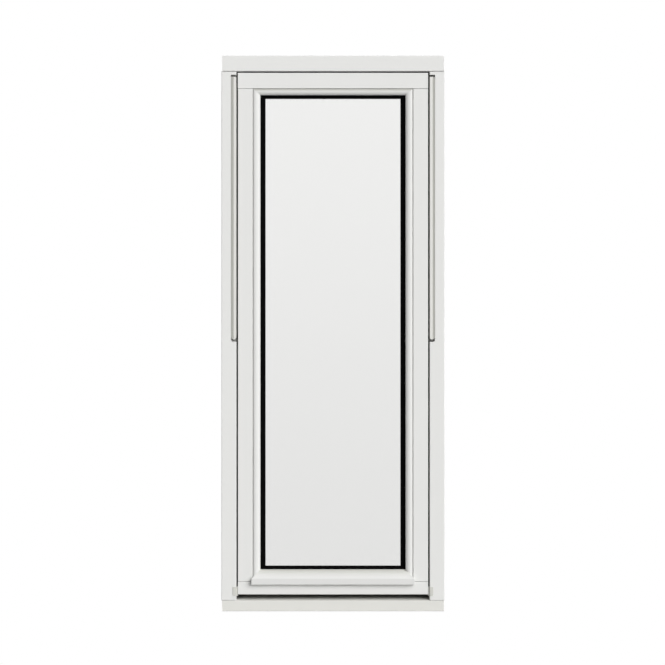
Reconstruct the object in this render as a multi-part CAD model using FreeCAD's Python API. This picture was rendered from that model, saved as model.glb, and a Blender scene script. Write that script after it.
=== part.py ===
"""Centre pivot window: a painted timber frame and a glazed sash that is carried at mid-height.

Millimetres. X runs along the sill, Y from the weather side into the room, Z up.
The origin is the middle of the sill's underside.
"""

import FreeCAD, Part
import math
import os

Vec = FreeCAD.Vector
near = 1e-3

# Frame
frame_width = 600.0
frame_height = 1495.0
frame_depth = 110.0
jamb_face = 40.0
head_face = 42.0
end_setback = 1.5
arris = 2.0
frame_vee = 1.3
sash_vee = 0.9
vee_depth = 4.0

# Sill
sill_nose = 29.0
sill_nose_rake = 3.0
sill_slope_deg = 8.0
sill_upstand_lap = 17.0
throat_radius = 3.0
throat_inset = 12.0

# Sash
joint_gap = 4.0
sill_gap = 16.0
sash_depth = 68.0
sash_inset = 3.0
stile_face = 39.8
top_rail_face = 42.0
bottom_rail_face = 34.5
lip_depth = 25.0
lip_round = 7.0
rebate_arris = 0.5

# Glazing, from the weather side inwards
side_bead_width = 20.7
top_bead_width = 17.5
bead_rise = 1.4
bead_drop = 4.5
bead_crest_share = 0.35
quirk_share = 0.1
quirk_depth = 5.0
pane_thickness = 4.0
cavity = 16.0
gasket_thickness = 3.0
glass_clearance = 5.0
gasket_side_show = 13.7
gasket_top_show = 9.5
gasket_bottom_show = 9.6
gasket_edge = 0.8
spacer_width = 12.0
spacer_setback = 1.2
inner_gasket_show = 3.0
setting_block_length = 100.0
setting_block_inset = 60.0

# Drip bead along the foot of the glass
drip_height = 32.5
drip_proud = 14.0
drip_crest_drop = 23.5
drip_belly = 4.2
drip_lap = 6.7
drip_end_lap = 3.3
drip_undercut = 1.0
drip_groove_radius = 2.0
drip_nose_round = 1.5

# Stop strips, let into the upper half of the jambs
strip_width = 13.4
strip_edge = 0.5
strip_depth = 12.0
strip_proud = 0.8
strip_bar_width = 7.5
strip_bar_round = 1.2
strip_groove = 1.0
strip_top_drop = 57.0
strip_below_pivot = 15.5
strip_corner = 6.0
strip_head_corner = 3.0
strip_side_gap = 0.6
strip_top_gap = 5.5
strip_foot_gap = 6.5
strip_mortise = 24.0

# Guide blocks at the foot of the jambs
block_width = 10.0
block_height = 24.0
block_lift = 12.5
block_proud = 1.5
block_depth = 22.0
block_tongue_set = 5.0
block_tongue_clear = 0.3
block_chamfer = 3.0

# Pivots at mid-height
pivot_plate_length = 90.0
pivot_plate_width = 24.0
pivot_plate_thickness = 3.0
pivot_plate_corner = 9.5
pivot_pin_radius = 6.0
pivot_pin_reach = 15.0
pivot_seal_clear = 6.0
pivot_clearance = 0.15
pivot_cup_wall = 4.0

# Stops and covers on the room side
stop_width = 16.0
stop_depth = 18.0
cover_lap = 17.0
cover_depth = 12.0
cover_clear = 1.0
changeover_gap = 3.0
trim_round = 5.0

# Seals in the joint round the sash
seal_depth = 10.0
seal_inset = 28.0
sill_seal_height = 8.0
sill_seal_lift = 5.0

# Handle on the room side of the bottom rail
rose_length = 70.0
rose_height = 28.0
rose_thickness = 9.0
rose_corner = 12.5
rose_chamfer = 2.0
spindle_radius = 8.0
spindle_length = 36.0
lever_length = 118.0
lever_root_height = 22.0
lever_tip_height = 16.0
lever_root_corner = 9.8
lever_tip_corner = 7.2
lever_thickness = 11.0
lever_chamfer = 3.0

# Frame fixings, through the jambs from the room side reveal
fixing_radius = 5.25
fixing_inset = 11.0
outer_fixing_spacing = 1195.0
inner_fixing_spacing = 400.0

# Places worked out from the sizes above
half_width = frame_width / 2
front = -frame_depth / 2
back = frame_depth / 2
jamb_inner = half_width - jamb_face
head_bottom = frame_height - head_face
sash_half = jamb_inner - joint_gap
sash_bottom = sill_nose + sill_gap
sash_top = head_bottom - joint_gap
sash_front = front + sash_inset
sash_back = sash_front + sash_depth
pivot_height = (sash_bottom + sash_top) / 2

rebate_half = sash_half - stile_face
rebate_bottom = sash_bottom + bottom_rail_face
rebate_top = sash_top - top_rail_face
sight_half = rebate_half - side_bead_width
sight_bottom = rebate_bottom + drip_height
sight_top = rebate_top - top_bead_width

lip_front = sash_back - lip_depth
inner_glass_back = lip_front - gasket_thickness
inner_glass_front = inner_glass_back - pane_thickness
outer_glass_back = inner_glass_front - cavity
outer_glass_front = outer_glass_back - pane_thickness
bead_back = outer_glass_front - gasket_thickness
glass_half = rebate_half - glass_clearance
glass_bottom = rebate_bottom + glass_clearance
glass_top = rebate_top - glass_clearance

upstand_front = sash_back + joint_gap
sill_rise = (upstand_front - front) * math.tan(math.radians(sill_slope_deg))
upstand_top = sash_bottom + sill_upstand_lap
strip_inner = jamb_inner + strip_edge
strip_outer = strip_inner + strip_width
strip_top = frame_height - strip_top_drop
strip_bottom = pivot_height - strip_below_pivot
strip_back = front + strip_depth
seal_front = sash_front + seal_inset
pivot_depth = seal_front + seal_depth + pivot_seal_clear + pivot_pin_radius
fixing_depth = back - fixing_inset


def place(plane, at, a, b):
    """A point of an outline: (y, z) across X, (x, y) across Z, or (x, z) across Y."""
    if plane == "x":
        return Vec(at, a, b)
    if plane == "z":
        return Vec(a, b, at)
    return Vec(a, at, b)


def outline(plane, at, corners):
    """A closed wire through corners (a, b) or (a, b, radius), with each radius as a tangent arc."""
    points = [place(plane, at, c[0], c[1]) for c in corners]
    starts, ends, edges = [], [], []
    for i, corner in enumerate(corners):
        here = points[i]
        radius = corner[2] if len(corner) > 2 else 0.0
        to_last = (points[i - 1] - here).normalize()
        to_next = (points[(i + 1) % len(points)] - here).normalize()
        half_angle = to_last.getAngle(to_next) / 2
        reach = radius / math.tan(half_angle)
        starts.append(here + to_last * reach)
        ends.append(here + to_next * reach)
        if radius > 0:
            middle = (to_last + to_next).normalize()
            nearest = here + middle * (radius / math.sin(half_angle) - radius)
            edges.append(Part.Arc(starts[i], nearest, ends[i]).toShape())
    for i in range(len(corners)):
        start, end = ends[i - 1], starts[i]
        if start.distanceToPoint(end) > near:
            edges.append(Part.makeLine(start, end))
    return Part.Wire(Part.__sortEdges__(edges))


def prism(plane, start, end, corners):
    """An outline carried straight from start to end along the plane's own axis."""
    face = Part.Face(outline(plane, start, corners))
    return face.extrude(place(plane, end, 0, 0) - place(plane, start, 0, 0))


def box(x0, x1, y0, y1, z0, z1):
    """A plain block between two corners."""
    return Part.makeBox(x1 - x0, y1 - y0, z1 - z0, Vec(x0, y0, z0))


def bar_along_x(radius, x0, x1, y, z):
    """A round bar along X."""
    return Part.makeCylinder(radius, x1 - x0, Vec(x0, y, z), Vec(1, 0, 0))


def mirrored(shape):
    """The same piece on the other side of the window."""
    return shape.mirror(Vec(0, 0, 0), Vec(1, 0, 0))


def ring(y0, y1, outer, inner):
    """A flat frame of one section between an outer and an inner (half width, bottom, top)."""
    whole = box(-outer[0], outer[0], y0, y1, outer[1], outer[2])
    return whole.cut(box(-inner[0], inner[0], y0, y1, inner[1], inner[2]))


def sill_blank(half_length, rounding, rake):
    """The sill's section along X: raked nose, weathered slope and the upstand behind the sash."""
    corners = [
        (front + rake, 0, rounding),
        (front, sill_nose, rounding),
        (upstand_front, sill_nose + sill_rise),
        (upstand_front, upstand_top, rounding),
        (back, upstand_top, rounding),
        (back, 0),
    ]
    return prism("x", -half_length, half_length, corners)


def make_sill():
    """The sill with a drip throat under its nose."""
    half_length = half_width - end_setback
    throat = bar_along_x(throat_radius, -half_width, half_width, front + throat_inset, 0)
    return sill_blank(half_length, arris, sill_nose_rake).cut(throat)


def make_head():
    """The head, across the tops of both jambs."""
    half_length = half_width - end_setback
    corners = [
        (front, head_bottom, arris),
        (front, frame_height, arris),
        (back, frame_height),
        (back, head_bottom, arris),
    ]
    return prism("x", -half_length, half_length, corners)


def vee_cut(face, height, width):
    """The wedge that bevels a timber's end at its weather face, so that a joint shows as a vee.

    The width is that of the vee at the face, upwards if it is positive and downwards if not.
    """
    corners = [
        (face + vee_depth, height),
        (face - vee_depth, height + 2 * width),
        (face - vee_depth, height),
    ]
    return prism("x", 0, half_width, corners)


def strip_seat():
    """The rebate in a jamb's weather edge that takes a stop strip, open to the joint.

    Past the strip's rounded ends it runs deeper, where the cutter went in and out.
    """
    bottom = strip_bottom - strip_foot_gap
    top = strip_top + strip_top_gap
    side = strip_outer + strip_side_gap
    open_side = jamb_inner - joint_gap
    corners = [
        (open_side, bottom),
        (side, bottom, strip_corner),
        (side, top),
        (open_side, top),
    ]
    seat = prism("y", front - strip_proud, front + strip_mortise, corners)
    middle = box(
        open_side,
        side,
        strip_back,
        front + strip_mortise,
        strip_bottom + strip_corner,
        strip_top - strip_head_corner,
    )
    return seat.cut(middle)


def make_stop_strip():
    """A stop strip: a round-edged bar with a flange beside it, rounded off below the pivot."""
    face = front - strip_proud
    bar_outer = strip_inner + strip_bar_width
    section = [
        (strip_inner, strip_back),
        (strip_inner, face, arris / 2),
        (bar_outer, face, strip_bar_round),
        (bar_outer, front + strip_groove),
        (strip_outer, front + strip_groove),
        (strip_outer, strip_back),
    ]
    whole = prism("z", strip_bottom, strip_top, section)
    corners = [
        (strip_inner, strip_bottom, strip_corner),
        (strip_outer, strip_bottom, strip_corner),
        (strip_outer, strip_top, strip_head_corner),
        (strip_inner, strip_top, strip_head_corner),
    ]
    return whole.common(prism("y", face, strip_back, corners))


def make_guide_block():
    """A block let into the foot of a jamb, with a tongue in the joint that centres the sash."""
    bottom = sill_nose + block_lift
    top = bottom + block_height
    tongue_end = sash_half + block_tongue_clear
    section = [
        (jamb_inner + block_width, front - block_proud, arris / 2),
        (jamb_inner, front - block_proud, arris / 2),
        (jamb_inner, front + block_tongue_set),
        (tongue_end, front + block_tongue_set),
        (tongue_end, front + block_depth),
        (jamb_inner + block_width, front + block_depth),
    ]
    whole = prism("z", bottom, top, section)
    corners = [
        (tongue_end, bottom),
        (jamb_inner + block_width - block_chamfer, bottom),
        (jamb_inner + block_width, bottom + block_chamfer),
        (jamb_inner + block_width, top, arris / 2),
        (tongue_end, top),
    ]
    return whole.common(prism("y", front - block_proud, front + block_depth, corners))


def make_pivot_plate():
    """The jamb's half of a pivot: a let-in plate and the pin across the joint."""
    reach = pivot_plate_length / 2
    side = pivot_plate_width / 2
    corners = [
        (pivot_depth - side, pivot_height - reach, pivot_plate_corner),
        (pivot_depth + side, pivot_height - reach, pivot_plate_corner),
        (pivot_depth + side, pivot_height + reach, pivot_plate_corner),
        (pivot_depth - side, pivot_height + reach, pivot_plate_corner),
    ]
    plate = prism("x", jamb_inner, jamb_inner + pivot_plate_thickness, corners)
    pin_end = sash_half - pivot_pin_reach
    pin = bar_along_x(pivot_pin_radius, pin_end, jamb_inner, pivot_depth, pivot_height)
    return plate.fuse(pin).removeSplitter()


def pivot_cup_blank():
    """The outside of the cup that a stile takes."""
    end = sash_half - pivot_pin_reach - pivot_cup_wall
    radius = pivot_pin_radius + pivot_clearance + pivot_cup_wall
    return bar_along_x(radius, end, sash_half, pivot_depth, pivot_height)


def make_pivot_cup():
    """The sash's half of a pivot: a cup that the pin turns in."""
    floor = sash_half - pivot_pin_reach - pivot_clearance
    bore = pivot_pin_radius + pivot_clearance
    return pivot_cup_blank().cut(bar_along_x(bore, floor, sash_half, pivot_depth, pivot_height))


def fixing_heights():
    """Heights of the frame fixings, in two pairs about mid-height."""
    middle = frame_height / 2
    spans = (outer_fixing_spacing, inner_fixing_spacing)
    return [middle + side * span / 2 for span in spans for side in (-1, 1)]


def make_jamb():
    """The right jamb, scribed to the sill, with its seats and fixing holes."""
    section = [
        (jamb_inner, front, arris),
        (half_width, front, arris),
        (half_width, back),
        (jamb_inner, back, arris),
    ]
    jamb = prism("z", 0, head_bottom, section)
    jamb = jamb.cut(sill_blank(frame_width, 0, 0))
    jamb = jamb.cut(vee_cut(front, sill_nose, frame_vee)).cut(vee_cut(front, head_bottom, -frame_vee))
    jamb = jamb.cut(strip_seat())
    jamb = jamb.cut(make_guide_block())
    jamb = jamb.cut(make_pivot_plate())
    for height in fixing_heights():
        jamb = jamb.cut(bar_along_x(fixing_radius, jamb_inner, half_width, fixing_depth, height))
    return jamb


def make_top_rail():
    """The sash's top rail, with the lip that the glass lies against."""
    corners = [
        (sash_front, rebate_top, rebate_arris),
        (sash_front, sash_top, arris),
        (sash_back, sash_top),
        (sash_back, rebate_top),
    ]
    rail = prism("x", -sash_half, sash_half, corners)
    lip = [
        (lip_front, rebate_top),
        (sash_back, rebate_top),
        (sash_back, sight_top, lip_round),
        (lip_front, sight_top),
    ]
    return rail.fuse(prism("x", -rebate_half, rebate_half, lip)).removeSplitter()


def make_bottom_rail():
    """The sash's bottom rail, with its lip and a drip throat underneath."""
    corners = [
        (sash_front, sash_bottom, arris),
        (sash_front, rebate_bottom, rebate_arris),
        (sash_back, rebate_bottom),
        (sash_back, sash_bottom),
    ]
    rail = prism("x", -sash_half, sash_half, corners)
    lip = [
        (lip_front, rebate_bottom),
        (sash_back, rebate_bottom),
        (sash_back, sight_bottom, lip_round),
        (lip_front, sight_bottom),
    ]
    rail = rail.fuse(prism("x", -rebate_half, rebate_half, lip)).removeSplitter()
    throat_depth = sash_front + throat_inset
    return rail.cut(bar_along_x(throat_radius, -sash_half, sash_half, throat_depth, sash_bottom))


def make_stile(rails):
    """The right stile between the rails, coped to their lips, with the pivot cup's socket."""
    section = [
        (sash_half, sash_front, arris),
        (sash_half, sash_back),
        (sight_half, sash_back, lip_round),
        (sight_half, lip_front),
        (rebate_half, lip_front),
        (rebate_half, sash_front, rebate_arris),
    ]
    stile = prism("z", rebate_bottom, rebate_top, section)
    for rail in rails:
        stile = stile.cut(rail)
    stile = stile.cut(vee_cut(sash_front, rebate_bottom, sash_vee))
    stile = stile.cut(vee_cut(sash_front, rebate_top, -sash_vee))
    return stile.cut(pivot_cup_blank())


def bead_face(plane, at, outer, inner):
    """A bead's section: a narrow quirk beside the sash, one arc over the crest, low at the glass."""
    shoulder = outer + (inner - outer) * quirk_share
    crest = shoulder + (inner - shoulder) * bead_crest_share
    sides = [
        (shoulder, sash_front),
        (shoulder, sash_front + quirk_depth),
        (outer, sash_front + quirk_depth),
        (outer, bead_back),
        (inner, bead_back),
        (inner, sash_front + bead_drop),
    ]
    points = [place(plane, at, *order(plane, *side)) for side in sides]
    top = place(plane, at, *order(plane, crest, sash_front - bead_rise))
    edges = [Part.makeLine(points[i], points[i + 1]) for i in range(len(points) - 1)]
    edges.append(Part.Arc(points[-1], top, points[0]).toShape())
    return Part.Face(Part.Wire(edges))


def order(plane, across, depth):
    """A bead's distance across and its depth, in the order that place() takes them."""
    return (across, depth) if plane == "z" else (depth, across)


def mitre_wedge():
    """The space over the top right mitre, which the top bead keeps and the side bead gives up."""
    far = rebate_half + side_bead_width
    corners = [
        (sight_half, sight_top),
        (rebate_half, rebate_top),
        (far, rebate_top + top_bead_width),
        (-far, rebate_top + top_bead_width),
        (-rebate_half, rebate_top),
        (-sight_half, sight_top),
    ]
    return prism("y", sash_front - 2 * bead_rise, bead_back, corners)


def make_side_bead(drip):
    """The right bead, mitred at the top and scribed over the drip bead at its foot."""
    height = rebate_top - rebate_bottom
    bead = bead_face("z", rebate_bottom, rebate_half, sight_half).extrude(Vec(0, 0, height))
    return bead.cut(mitre_wedge()).cut(drip)


def make_top_bead():
    """The bead along the top of the glass, mitred at both ends."""
    bead = bead_face("x", -rebate_half, rebate_top, sight_top)
    return bead.extrude(Vec(2 * rebate_half, 0, 0)).common(mitre_wedge())


def make_drip_bead(stiles):
    """The weather bead at the foot of the glass: a rounded fall, a nose and a drip groove."""
    nose = sash_front - drip_proud
    crest = sight_bottom - drip_crest_drop
    foot = rebate_bottom - drip_lap
    half = rebate_half + drip_end_lap
    fall = Vec(-half, (bead_back + nose) / 2 - drip_belly, (sight_bottom + crest) / 2 + drip_belly)
    corners = [
        Vec(-half, nose, crest),
        Vec(-half, nose + drip_undercut, foot),
        Vec(-half, sash_front, foot),
        Vec(-half, sash_front, rebate_bottom),
        Vec(-half, bead_back, rebate_bottom),
        Vec(-half, bead_back, sight_bottom),
    ]
    edges = [Part.makeLine(corners[i], corners[i + 1]) for i in range(len(corners) - 1)]
    edges.append(Part.Arc(corners[-1], fall, corners[0]).toShape())
    bead = Part.Face(Part.Wire(edges)).extrude(Vec(2 * half, 0, 0))
    groove = bar_along_x(drip_groove_radius, -half, half, (nose + sash_front) / 2, foot)
    bead = bead.cut(groove)
    for stile in stiles:
        bead = bead.cut(stile)
    brow = [e for e in bead.Edges if e.BoundBox.YMax < nose + near and e.BoundBox.ZMin > crest - near]
    return bead.makeFillet(drip_nose_round, brow)


def make_pane(y0):
    """One sheet of the double glazing."""
    return box(-glass_half, glass_half, y0, y0 + pane_thickness, glass_bottom, glass_top)


def gasket_sight():
    """The clear opening inside the weather gasket: half width, bottom and top."""
    return (
        sight_half - gasket_side_show,
        sight_bottom + gasket_bottom_show,
        sight_top - gasket_top_show,
    )


def make_outer_gasket():
    """The black gasket in front of the glass, with a flap that thins towards the sight line."""
    half, bottom, top = gasket_sight()
    corners = [(-half, bottom), (half, bottom), (half, top), (-half, top)]
    outer = [(-sight_half, sight_bottom), (sight_half, sight_bottom)]
    outer += [(sight_half, sight_top), (-sight_half, sight_top)]
    edge = outer_glass_front - gasket_edge
    flap_cut = Part.makeLoft([outline("y", bead_back, outer), outline("y", edge, corners)], True)
    whole = box(-glass_half, glass_half, bead_back, outer_glass_front, glass_bottom, glass_top)
    opening = prism("y", bead_back, outer_glass_front, corners)
    return whole.cut(flap_cut).cut(opening)


def make_inner_gasket():
    """The gasket between the glass and the lip."""
    inner = (
        sight_half - inner_gasket_show,
        sight_bottom + inner_gasket_show,
        sight_top - inner_gasket_show,
    )
    return ring(inner_glass_back, lip_front, (glass_half, glass_bottom, glass_top), inner)


def spacer_rings():
    """Inner, middle and outer edges of the spacer bar and the seal round it."""
    half, bottom, top = gasket_sight()
    inner = (half + spacer_setback, bottom - spacer_setback, top + spacer_setback)
    middle = (inner[0] + spacer_width, inner[1] - spacer_width, inner[2] + spacer_width)
    return inner, middle, (glass_half, glass_bottom, glass_top)


def make_spacer_bar():
    """The spacer bar between the sheets."""
    inner, middle, outer = spacer_rings()
    return ring(outer_glass_back, inner_glass_front, middle, inner)


def make_edge_seal():
    """The seal that fills the edge of the double glazing outside the spacer bar."""
    inner, middle, outer = spacer_rings()
    return ring(outer_glass_back, inner_glass_front, outer, middle)


def make_setting_blocks():
    """Two blocks that carry the glass on the bottom rail."""
    outer = glass_half - setting_block_inset
    block = box(
        outer - setting_block_length,
        outer,
        outer_glass_front,
        inner_glass_back,
        rebate_bottom,
        glass_bottom,
    )
    return Part.makeCompound([block, mirrored(block)])


def make_side_seal():
    """The seal in the joint between a stile and its jamb."""
    return box(sash_half, jamb_inner, seal_front, seal_front + seal_depth, sash_bottom, sash_top)


def make_head_seal():
    """The seal in the joint over the top rail."""
    rear = seal_front + seal_depth
    return box(-jamb_inner, jamb_inner, seal_front, rear, sash_top, head_bottom)


def make_sill_seal():
    """The seal between the bottom rail and the sill's upstand."""
    bottom = sash_bottom + sill_seal_lift
    return box(-jamb_inner, jamb_inner, sash_back, upstand_front, bottom, bottom + sill_seal_height)


def make_inner_stop():
    """The frame's stop on the room side of the lower half, fixed to the right jamb."""
    section = [
        (jamb_inner, sash_back),
        (jamb_inner, sash_back + stop_depth),
        (jamb_inner - stop_width, sash_back + stop_depth, trim_round),
        (jamb_inner - stop_width, sash_back),
    ]
    return prism("z", upstand_top, pivot_height - changeover_gap / 2, section)


def make_side_cover():
    """The sash's cover on the room side of the upper half, fixed to the right stile."""
    edge = jamb_inner - cover_clear
    section = [
        (edge, sash_back),
        (edge, sash_back + cover_depth, arris / 2),
        (sash_half - cover_lap, sash_back + cover_depth, trim_round),
        (sash_half - cover_lap, sash_back),
    ]
    return prism("z", pivot_height + changeover_gap / 2, sash_top - cover_lap, section)


def make_top_cover():
    """The sash's cover on the room side of the top joint."""
    edge = head_bottom - cover_clear
    corners = [
        (sash_back, edge),
        (sash_back + cover_depth, edge, arris / 2),
        (sash_back + cover_depth, sash_top - cover_lap, trim_round),
        (sash_back, sash_top - cover_lap),
    ]
    end = jamb_inner - cover_clear
    return prism("x", -end, end, corners)


def handle_height():
    """The handle sits midway up the part of the bottom rail that shows in the room."""
    return (upstand_top + sight_bottom) / 2


def make_handle_rose():
    """The handle's rose, a rounded plate on the bottom rail."""
    z = handle_height()
    reach = rose_length / 2
    side = rose_height / 2
    corners = [
        (-reach, z - side, rose_corner),
        (reach, z - side, rose_corner),
        (reach, z + side, rose_corner),
        (-reach, z + side, rose_corner),
    ]
    rose = prism("y", sash_back, sash_back + rose_thickness, corners)
    rim = [e for e in rose.Edges if e.BoundBox.YMin > sash_back + rose_thickness - near]
    return rose.makeChamfer(rose_chamfer, rim)


def make_handle_lever():
    """The lever: a spindle neck and a tapered grip along the rail."""
    z = handle_height()
    root = lever_root_height / 2
    tip = lever_tip_height / 2
    start = sash_back + rose_thickness
    end = start + spindle_length
    corners = [
        (-root, z - root, lever_root_corner),
        (lever_length, z - tip, lever_tip_corner),
        (lever_length, z + tip, lever_tip_corner),
        (-root, z + root, lever_root_corner),
    ]
    grip = prism("y", end - lever_thickness, end, corners)
    rim = [e for e in grip.Edges if e.BoundBox.YLength < near]
    grip = grip.makeChamfer(lever_chamfer, rim)
    neck_length = spindle_length - lever_thickness / 2
    neck = Part.makeCylinder(spindle_radius, neck_length, Vec(0, start, z), Vec(0, 1, 0))
    return neck.fuse(grip).removeSplitter()


def build():
    """Every piece of the window by its name."""
    top_rail = make_top_rail()
    bottom_rail = make_bottom_rail()
    right_stile = make_stile([top_rail, bottom_rail])
    left_stile = mirrored(right_stile)
    drip_bead = make_drip_bead([left_stile, right_stile])
    pieces = {
        "head": make_head(),
        "sill": make_sill(),
        "top_rail": top_rail,
        "bottom_rail": bottom_rail,
        "left_stile": left_stile,
        "right_stile": right_stile,
        "drip_bead": drip_bead,
        "top_bead": make_top_bead(),
        "outer_pane": make_pane(outer_glass_front),
        "inner_pane": make_pane(inner_glass_front),
        "spacer_bar": make_spacer_bar(),
        "edge_seal": make_edge_seal(),
        "setting_blocks": make_setting_blocks(),
        "outer_gasket": make_outer_gasket(),
        "inner_gasket": make_inner_gasket(),
        "head_seal": make_head_seal(),
        "sill_seal": make_sill_seal(),
        "top_cover": make_top_cover(),
        "handle_rose": make_handle_rose(),
        "handle_lever": make_handle_lever(),
    }
    right_hand = {
        "jamb": make_jamb(),
        "bead": make_side_bead(drip_bead),
        "stop_strip": make_stop_strip(),
        "guide_block": make_guide_block(),
        "pivot_plate": make_pivot_plate(),
        "pivot_cup": make_pivot_cup(),
        "seal": make_side_seal(),
        "inner_stop": make_inner_stop(),
        "side_cover": make_side_cover(),
    }
    for name, shape in right_hand.items():
        pieces["right_" + name] = shape
        pieces["left_" + name] = mirrored(shape)
    return pieces


os.makedirs("parts", exist_ok=True)
for node, shape in build().items():
    shape.exportStep("parts/" + node + ".step")
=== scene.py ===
"""Centre pivot window: the finish of every piece, the rounded trim and a plain studio.

Metres, in the part's own axes: X along the sill, Y from the weather side into the room, Z up.
"""

import math

import bmesh
import bpy
import numpy as np
from bpy.props import FloatProperty, FloatVectorProperty, PointerProperty
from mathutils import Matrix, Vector


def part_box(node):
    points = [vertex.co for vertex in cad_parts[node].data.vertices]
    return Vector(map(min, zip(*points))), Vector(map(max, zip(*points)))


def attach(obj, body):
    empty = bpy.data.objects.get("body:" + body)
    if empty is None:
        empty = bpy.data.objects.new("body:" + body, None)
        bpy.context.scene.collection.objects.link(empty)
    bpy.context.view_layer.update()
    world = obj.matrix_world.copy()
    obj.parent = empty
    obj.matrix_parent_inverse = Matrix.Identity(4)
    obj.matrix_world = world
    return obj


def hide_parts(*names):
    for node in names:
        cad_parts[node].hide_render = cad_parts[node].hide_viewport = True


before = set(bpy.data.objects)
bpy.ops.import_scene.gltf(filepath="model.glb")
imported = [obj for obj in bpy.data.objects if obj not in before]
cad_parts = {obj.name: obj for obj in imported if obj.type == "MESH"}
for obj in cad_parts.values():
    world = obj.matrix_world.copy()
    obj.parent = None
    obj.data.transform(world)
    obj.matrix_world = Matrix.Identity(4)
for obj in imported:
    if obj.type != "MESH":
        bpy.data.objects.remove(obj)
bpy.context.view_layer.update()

bl_info = {
    "name": "Centre Pivot Window",
    "version": (1, 0, 0),
    "blender": (4, 5, 0),
    "location": "3D View > Sidebar > Window",
    "description": "Finishes a centre pivot window and sets it in a plain studio",
    "category": "Object",
}

BODY = "root"
SIDES = {"left": -1.0, "right": 1.0}
MERGE_DISTANCE = 2e-6
SHARP_ANGLE = math.radians(30)
BEVEL_SEGMENTS = 2
CORNER_POINTS = 9
ARC_POINTS = 33
ROUND_POINTS = 48
SQUARE = np.array([(-1.0, -1.0), (1.0, -1.0), (1.0, 1.0), (-1.0, 1.0)])
QUARTER_TURN = np.pi / 2

# Grain of the timber under the paint: features a metre along a piece and across it.
GRAIN_ALONG = 7.0
GRAIN_ACROSS = 210.0

# Row of pinholes along the spacer bar: from hole to hole, and a hole's radius.
PINHOLE_PITCH = 0.004
PINHOLE_RADIUS = 0.0006

# Handle: the rose's corner radius as a share of half its height, the neck's radius at its waist and
# what its ends add to that, as shares of the neck radius, and the power of the grip's superellipse.
ROSE_CORNER = 0.92
NECK_WAIST = 0.92
NECK_FLARE = 0.2
GRIP_POWER = 3

# Lights: the direction from the window to each, and how far off they are drawn.
KEY_FROM = Vector((0.57, -0.765, 0.44))
FILL_FROM = Vector((-0.5, 0.84, 0.2))
LIGHT_DISTANCE = 4.0

# Surroundings: the height of a direction, up or down, at which the grading ends, and the levels that
# the view through the glass and the reflections grade between.
HORIZON = 0.12
VIEW_LEVELS = (0.9, 1.0)
GLEAM_LEVELS = (0.2, 1.1)

# Floor: half its width, the lightness that its paint varies between, its lightness to scattered light,
# the share of it that glows when it is seen, and the facing weights between which it turns white.
FLOOR_REACH = 60.0
FLOOR_TONES = (0.86, 0.9)
FLOOR_BOUNCE = 0.45
FLOOR_GLOW = 0.45
FLOOR_GRAZING = (0.72, 0.88)

# Camera: its place across and above the window's origin, and the width of its sensor in millimetres.
CAMERA_X = -0.0013
CAMERA_Z = 0.7502
SENSOR_WIDTH = 36.0


def lowest(node):
    """The lowest corner of a node's box."""
    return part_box(node)[0]


def highest(node):
    """The highest corner of a node's box."""
    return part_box(node)[1]


FRAME_FRONT = lowest("right_jamb").y
SASH_FRONT = lowest("right_stile").y
REBATE_HALF = highest("right_bead").x
REBATE_TOP = highest("top_bead").z
REBATE_BOTTOM = lowest("setting_blocks").z
SIGHT_HALF = lowest("right_bead").x
SIGHT_TOP = lowest("top_bead").z
SIGHT_BOTTOM = highest("drip_bead").z
BEAD_BACK = highest("right_bead").y
DRIP_HALF = highest("drip_bead").x


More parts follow.
